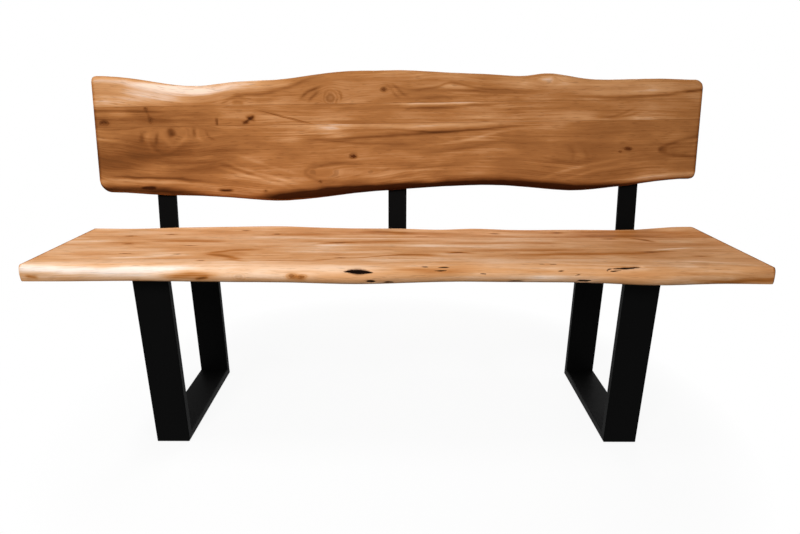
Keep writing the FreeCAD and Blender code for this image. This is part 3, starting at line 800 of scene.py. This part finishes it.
def board_values(marks, slot, grid, edge_shift, used):
    """What the wood's material draws from at the points of a board's outside, and the depth of its pits."""
    live = marks["live"]
    outside = grid.reshape(-1, 3)[used]
    across = developed(grid, live).reshape(-1)[used]
    edge = grid[:, -1 if live == "high" else 0, -1, 1]
    nearness = np.exp(-np.abs(grid[..., 1] - edge[:, None, None]) / edge_reach)
    shift = (edge_shift[:, None, None] * nearness).reshape(-1)[used]
    values, pit = wood_marks(outside[:, 0], across, outside[:, 2], marks, shift)
    values["seam"] = seam_distance(grid, live).reshape(-1)[used]
    values["surface"] = np.stack([outside[:, 0], across, outside[:, 2]], axis=-1)
    from_end = grid[..., 0].max() - np.abs(outside[:, 0])
    height = (outside[:, 2] - grid[..., 2].min()) / np.ptp(grid[..., 2])
    # Painted shade: a dark line along the top arris at each end of the board
    arris_shade = end_shade_tones[slot] * smooth_step(1 - from_end / end_shade_line) * height**end_shade_fade
    end_grain = np.zeros(grid.shape[:3], dtype=bool)
    end_grain[[0, -1], 1:-1, 1:-1] = True
    values["tone"] += np.where(end_grain.reshape(-1)[used], end_grain_tone, arris_shade)
    return values, pit


def add_values(mesh, title, value):
    """Stores a number or a vector for each point of a mesh, for its material to read."""
    if value.ndim == 1:
        mesh.attributes.new(title, "FLOAT", "POINT").data.foreach_set("value", value)
    else:
        mesh.attributes.new(title, "FLOAT_VECTOR", "POINT").data.foreach_set("vector", value.reshape(-1))


def board(name, matrix, slot, material):
    """One board of a slab, modelled over its CAD solid."""
    grid, edge_shift = board_grid(name, matrix, slot)
    quads, used = block_faces(grid.shape[:3])
    values, pit = board_values(boards[name], slot, grid, edge_shift, used)
    outside = grid.reshape(-1, 3)[used]
    mesh = bpy.data.meshes.new(name + "_looks")
    mesh.from_pydata(outside.tolist(), [], quads.tolist())
    normals = np.empty(len(outside) * 3)
    mesh.vertices.foreach_get("normal", normals)
    outside = outside - normals.reshape(-1, 3) * pit[:, None]
    mesh.vertices.foreach_set("co", outside.reshape(-1))
    for title, value in values.items():
        add_values(mesh, title, value)
    mesh.transform(matrix)
    mesh.shade_smooth()
    mesh.set_sharp_from_angle(angle=sharp_angle)
    mesh.materials.append(material)
    piece = bpy.data.objects.new(name + "_looks", mesh)
    bpy.context.scene.collection.objects.link(piece)
    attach(piece, "root")
    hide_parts(name)


def add_node(tree, kind, values=None, **settings):
    """A shader node with its settings, and its inputs set to values or linked to sockets."""
    made = tree.nodes.new(kind)
    for name, value in settings.items():
        setattr(made, name, value)
    for name, value in (values or {}).items():
        if isinstance(value, bpy.types.NodeSocket):
            tree.links.new(value, made.inputs[name])
        else:
            made.inputs[name].default_value = value
    return made


def maths(tree, operation, first, second=0.0):
    """One sum on sockets or numbers."""
    return add_node(tree, "ShaderNodeMath", {0: first, 1: second}, operation=operation).outputs[0]


def multiply_add(tree, first, second, third):
    """The product of two sockets or numbers, and a third added."""
    values = {0: first, 1: second, 2: third}
    return add_node(tree, "ShaderNodeMath", values, operation="MULTIPLY_ADD").outputs[0]


def ramp(tree, value, low, high):
    """A soft rise from 0 to 1 between two limits, or a fall where low is above high."""
    values = {"Value": value, "From Min": low, "From Max": high}
    return add_node(tree, "ShaderNodeMapRange", values, interpolation_type="SMOOTHSTEP").outputs["Result"]


def mix(tree, share, first, second):
    """One colour turning into another."""
    values = dict(zip(mix_sockets, (share, first, second)))
    return add_node(tree, "ShaderNodeMix", values, data_type="RGBA").outputs[mixed_socket]


def mix_shaders(tree, share, first, second):
    """One shader turning into another."""
    values = dict(enumerate((share, first.outputs[0], second.outputs[0])))
    return add_node(tree, "ShaderNodeMixShader", values)


def speckle(tree, vector, cells, detail):
    """Soft noise from 0 to 1, with so many cells per metre along each axis."""
    stretched = add_node(tree, "ShaderNodeVectorMath", {0: vector, 1: cells}, operation="MULTIPLY")
    values = {"Vector": stretched.outputs[0], "Scale": 1.0, "Detail": detail}
    return add_node(tree, "ShaderNodeTexNoise", values, noise_dimensions="3D").outputs["Fac"]


def weighted(tree, base, parts):
    """A base number with weighted noises, each centred on a half, added to it."""
    total = base
    for noise_socket, weight in parts:
        total = multiply_add(tree, maths(tree, "SUBTRACT", noise_socket, noise_middle), weight, total)
    return total


def read(tree, name, output="Fac"):
    """A value that the mesh carries for each of its points."""
    return add_node(tree, "ShaderNodeAttribute", attribute_name=name).outputs[output]


def new_material(name):
    """A new material, its node tree and its shader."""
    material = bpy.data.materials.new(name)
    material.use_nodes = True
    tree = material.node_tree
    return material, tree, tree.nodes["Principled BSDF"]


def add_bump(tree, shader, strength, depth, relief):
    """A fine relief in a material."""
    bump = add_node(tree, "ShaderNodeBump", {"Strength": strength, "Distance": depth, "Height": relief})
    tree.links.new(bump.outputs["Normal"], shader.inputs["Normal"])


def grain_space(tree):
    """Places in the wood, shifted with the flow of the grain round the knots and its slow sways."""
    flow = read(tree, "flow", "Vector")
    parts = add_node(tree, "ShaderNodeSeparateXYZ", {0: flow}).outputs
    across = parts["Y"]
    for along_waves, across_waves, shift in sways:
        sway = speckle(tree, flow, (along_waves, across_waves, across_waves), sway_detail)
        across = multiply_add(tree, sway, shift, across)
    shifted = {"X": parts["X"], "Y": across, "Z": parts["Z"]}
    return add_node(tree, "ShaderNodeCombineXYZ", shifted).outputs[0]


def wood_shade(tree, layers, mottle, strength):
    """How light the wood is, from 0 to 1: its figure and mottle, its tone and its knots."""
    tone = read(tree, "tone")
    loud = ramp(tree, maths(tree, "ABSOLUTE", tone), *calm_limits)
    calm = multiply_add(tree, loud, -calm_share * strength, strength)
    contrast = add_node(tree, "ShaderNodeMapRange", {"Value": mottle, **mottle_contrast}).outputs["Result"]
    contrast = maths(tree, "MULTIPLY", contrast, calm)
    figure = weighted(tree, 0.0, layers)
    shade = multiply_add(tree, figure, contrast, maths(tree, "ADD", tone, middle_shade))
    shade = weighted(tree, shade, ((mottle, mottle_weight),))
    knot = read(tree, "knot")
    core = read(tree, "core")
    near_knot = ramp(tree, knot, *knot_zone)
    rings = maths(tree, "SINE", maths(tree, "MULTIPLY", knot, ring_waves))
    rings = maths(tree, "MULTIPLY", rings, ramp(tree, core, 0.0, ring_core))
    shade = multiply_add(tree, maths(tree, "MULTIPLY", core, near_knot), core_shade, shade)
    return multiply_add(tree, maths(tree, "MULTIPLY", rings, near_knot), ring_shade, shade)


def colour_ramp(tree, shade, colours):
    """Colours that follow the shade."""
    made = add_node(tree, "ShaderNodeValToRGB", {"Fac": shade})
    stops = made.color_ramp.elements
    for place, _ in colours[1:-1]:
        stops.new(place)
    for stop, (place, shown) in zip(stops, colours):
        stop.position = place
        stop.color = colour(shown)
    return made.outputs["Color"]


def wood(slot):
    """Oiled solid wood: figure that flows round the knots, fibres, pores, cracks and glue lines."""
    material, tree, shader = new_material(slot)
    grain = grain_space(tree)
    surface = read(tree, "surface", "Vector")
    layers = [
        (speckle(tree, grain, (along_cells, across_cells, across_cells), detail), weight)
        for along_cells, across_cells, detail, weight in grain_layers
    ]
    fibres = layers[-1][0]
    mottle = speckle(tree, surface, mottle_cells, mottle_detail)
    pores = ramp(tree, speckle(tree, grain, pore_cells, pore_detail), *pore_limits)
    chips = speckle(tree, surface, chip_cells, chip_detail)
    heart = weighted(tree, read(tree, "knot"), ((chips, knot_chipping),))
    crack = weighted(tree, read(tree, "crack"), ((chips, crack_chipping),))
    stains = (
        (pores, pore_strength, knot_colour),
        (ramp(tree, heart, *heart_limits), read(tree, "core"), knot_colour),
        (ramp(tree, crack, *rim_limits), rim_strength, knot_colour),
        (ramp(tree, crack, *crack_limits), crack_strength, crack_colour),
        (ramp(tree, read(tree, "seam"), *glue_limits), glue_strength, knot_colour),
    )
    shade = wood_shade(tree, layers, mottle, figure_strengths[slot])
    painted = colour_ramp(tree, shade, wood_colours[slot])
    for place, strength, shown in stains:
        painted = mix(tree, maths(tree, "MULTIPLY", place, strength), painted, colour(shown))
    tree.links.new(painted, shader.inputs["Base Color"])
    rough = weighted(tree, wood_roughness, ((fibres, fibre_roughness), (mottle, mottle_roughness)))
    tree.links.new(multiply_add(tree, pores, pore_roughness, rough), shader.inputs["Roughness"])
    shader.inputs["Specular IOR Level"].default_value = wood_specular
    add_bump(tree, shader, wood_bump, wood_bump_depth, multiply_add(tree, pores, pore_relief, fibres))
    return material


def coated(slot, shown, roughness, specular, grain_cells, grain_depth):
    """A coated or moulded surface with a fine even grain and slightly uneven gloss."""
    material, tree, shader = new_material(slot)
    place = add_node(tree, "ShaderNodeTexCoord").outputs["Object"]
    cloud = speckle(tree, place, (cloud_cells, cloud_cells, cloud_cells), cloud_detail)
    peel = speckle(tree, place, (grain_cells, grain_cells, grain_cells), peel_detail)
    lighter = tuple(value * lighter_share for value in shown)
    tree.links.new(mix(tree, cloud, colour(shown), colour(lighter)), shader.inputs["Base Color"])
    rough = weighted(tree, roughness, ((cloud, cloud_roughness), (peel, peel_roughness)))
    tree.links.new(rough, shader.inputs["Roughness"])
    shader.inputs["Specular IOR Level"].default_value = specular
    add_bump(tree, shader, coat_bump, grain_depth, peel)
    return material


def camera():
    """The camera at the photograph's viewing angle."""
    data = bpy.data.cameras.new("camera")
    data.sensor_width = sensor_width
    data.lens = focal_pixels * sensor_width / image_width
    data.shift_y = (optical_axis_row - image_height / 2) / image_width
    turn = Matrix.Rotation(-camera_yaw, matrix_size, "Z")
    tilt = Matrix.Rotation(math.pi / 2 - camera_pitch, matrix_size, "X")
    roll = Matrix.Rotation(-camera_roll, matrix_size, "Z")
    made = bpy.data.objects.new("camera", data)
    made.matrix_world = Matrix.Translation(camera_place) @ turn @ tilt @ roll
    bpy.context.scene.collection.objects.link(made)
    bpy.context.scene.camera = made


def lamp(name, place, aim, width, height, watts):
    """A soft box that faces a point."""
    data = bpy.data.lights.new(name, "AREA")
    data.shape = "RECTANGLE"
    data.size = width
    data.size_y = height
    data.energy = watts
    made = bpy.data.objects.new(name, data)
    direction = Vector(aim) - Vector(place)
    made.matrix_world = Matrix.Translation(place) @ direction.to_track_quat("-Z", "Y").to_matrix().to_4x4()
    bpy.context.scene.collection.objects.link(made)


def seen_rays(tree):
    """1 for rays from the camera and for those seen in gloss or glass, 0 for light on the object."""
    path = add_node(tree, "ShaderNodeLightPath")
    seen = maths(tree, "MAXIMUM", path.outputs["Is Camera Ray"], path.outputs["Is Glossy Ray"])
    return maths(tree, "MAXIMUM", seen, path.outputs["Is Transmission Ray"])


def stage_floor():
    """Pale floor that keeps the bench's soft shadow and fades into white."""
    mesh = bpy.data.meshes.new("floor")
    corners = [(x * floor_reach, y * floor_reach, 0) for x, y in ((-1, -1), (1, -1), (1, 1), (-1, 1))]
    mesh.from_pydata(corners, [], [tuple(range(len(corners)))])
    floor = bpy.data.objects.new("floor", mesh)
    bpy.context.scene.collection.objects.link(floor)
    material, tree, shader = new_material("floor")
    tree.nodes.remove(shader)
    paper = add_node(tree, "ShaderNodeBsdfDiffuse", {"Color": paper_colour})
    glow = add_node(tree, "ShaderNodeEmission", {"Color": white, "Strength": 1.0})
    bounce = add_node(tree, "ShaderNodeBsdfDiffuse", {"Color": bounce_colour})
    place = add_node(tree, "ShaderNodeNewGeometry").outputs["Position"]
    away = add_node(tree, "ShaderNodeVectorMath", {0: place}, operation="LENGTH").outputs["Value"]
    glowing = maths(tree, "ADD", ramp(tree, away, *shadow_limits), floor_white_share)
    glowing = maths(tree, "MINIMUM", glowing, 1.0)
    lit = mix_shaders(tree, glowing, paper, glow)
    both = mix_shaders(tree, seen_rays(tree), bounce, lit)
    tree.links.new(both.outputs[0], tree.nodes["Material Output"].inputs["Surface"])
    mesh.materials.append(material)


def surroundings():
    """White surroundings where they are seen, and dim light from them on the bench."""
    world = bpy.data.worlds.new("world")
    bpy.context.scene.world = world
    world.use_nodes = True
    tree = world.node_tree
    soft = tree.nodes["Background"]
    soft.inputs["Color"].default_value = surround_colour
    soft.inputs["Strength"].default_value = surround_strength
    bright = add_node(tree, "ShaderNodeBackground", {"Color": white, "Strength": 1.0})
    both = mix_shaders(tree, seen_rays(tree), soft, bright)
    tree.links.new(both.outputs[0], tree.nodes["World Output"].inputs["Surface"])


for slab, turn in slab_turns.items():
    names = [name for name in boards if name.startswith(slab)]
    matrix = slab_matrix(names, turn)
    slot = slab + "_wood"
    material = wood(slot)
    for name in names:
        board(name, matrix, slot, material)
coats = {slot: coated(slot, *finish) for slot, finish in finishes.items()}
for name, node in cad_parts.items():
    if name in boards:
        continue
    slot = next((slot for slot in finishes if slot in name), "black_steel")
    node.data.materials.clear()
    node.data.materials.append(coats[slot])
camera()
stage_floor()
surroundings()
for name, settings in lamps.items():
    lamp(name, *settings)
bpy.context.scene.view_settings.view_transform = "Standard"
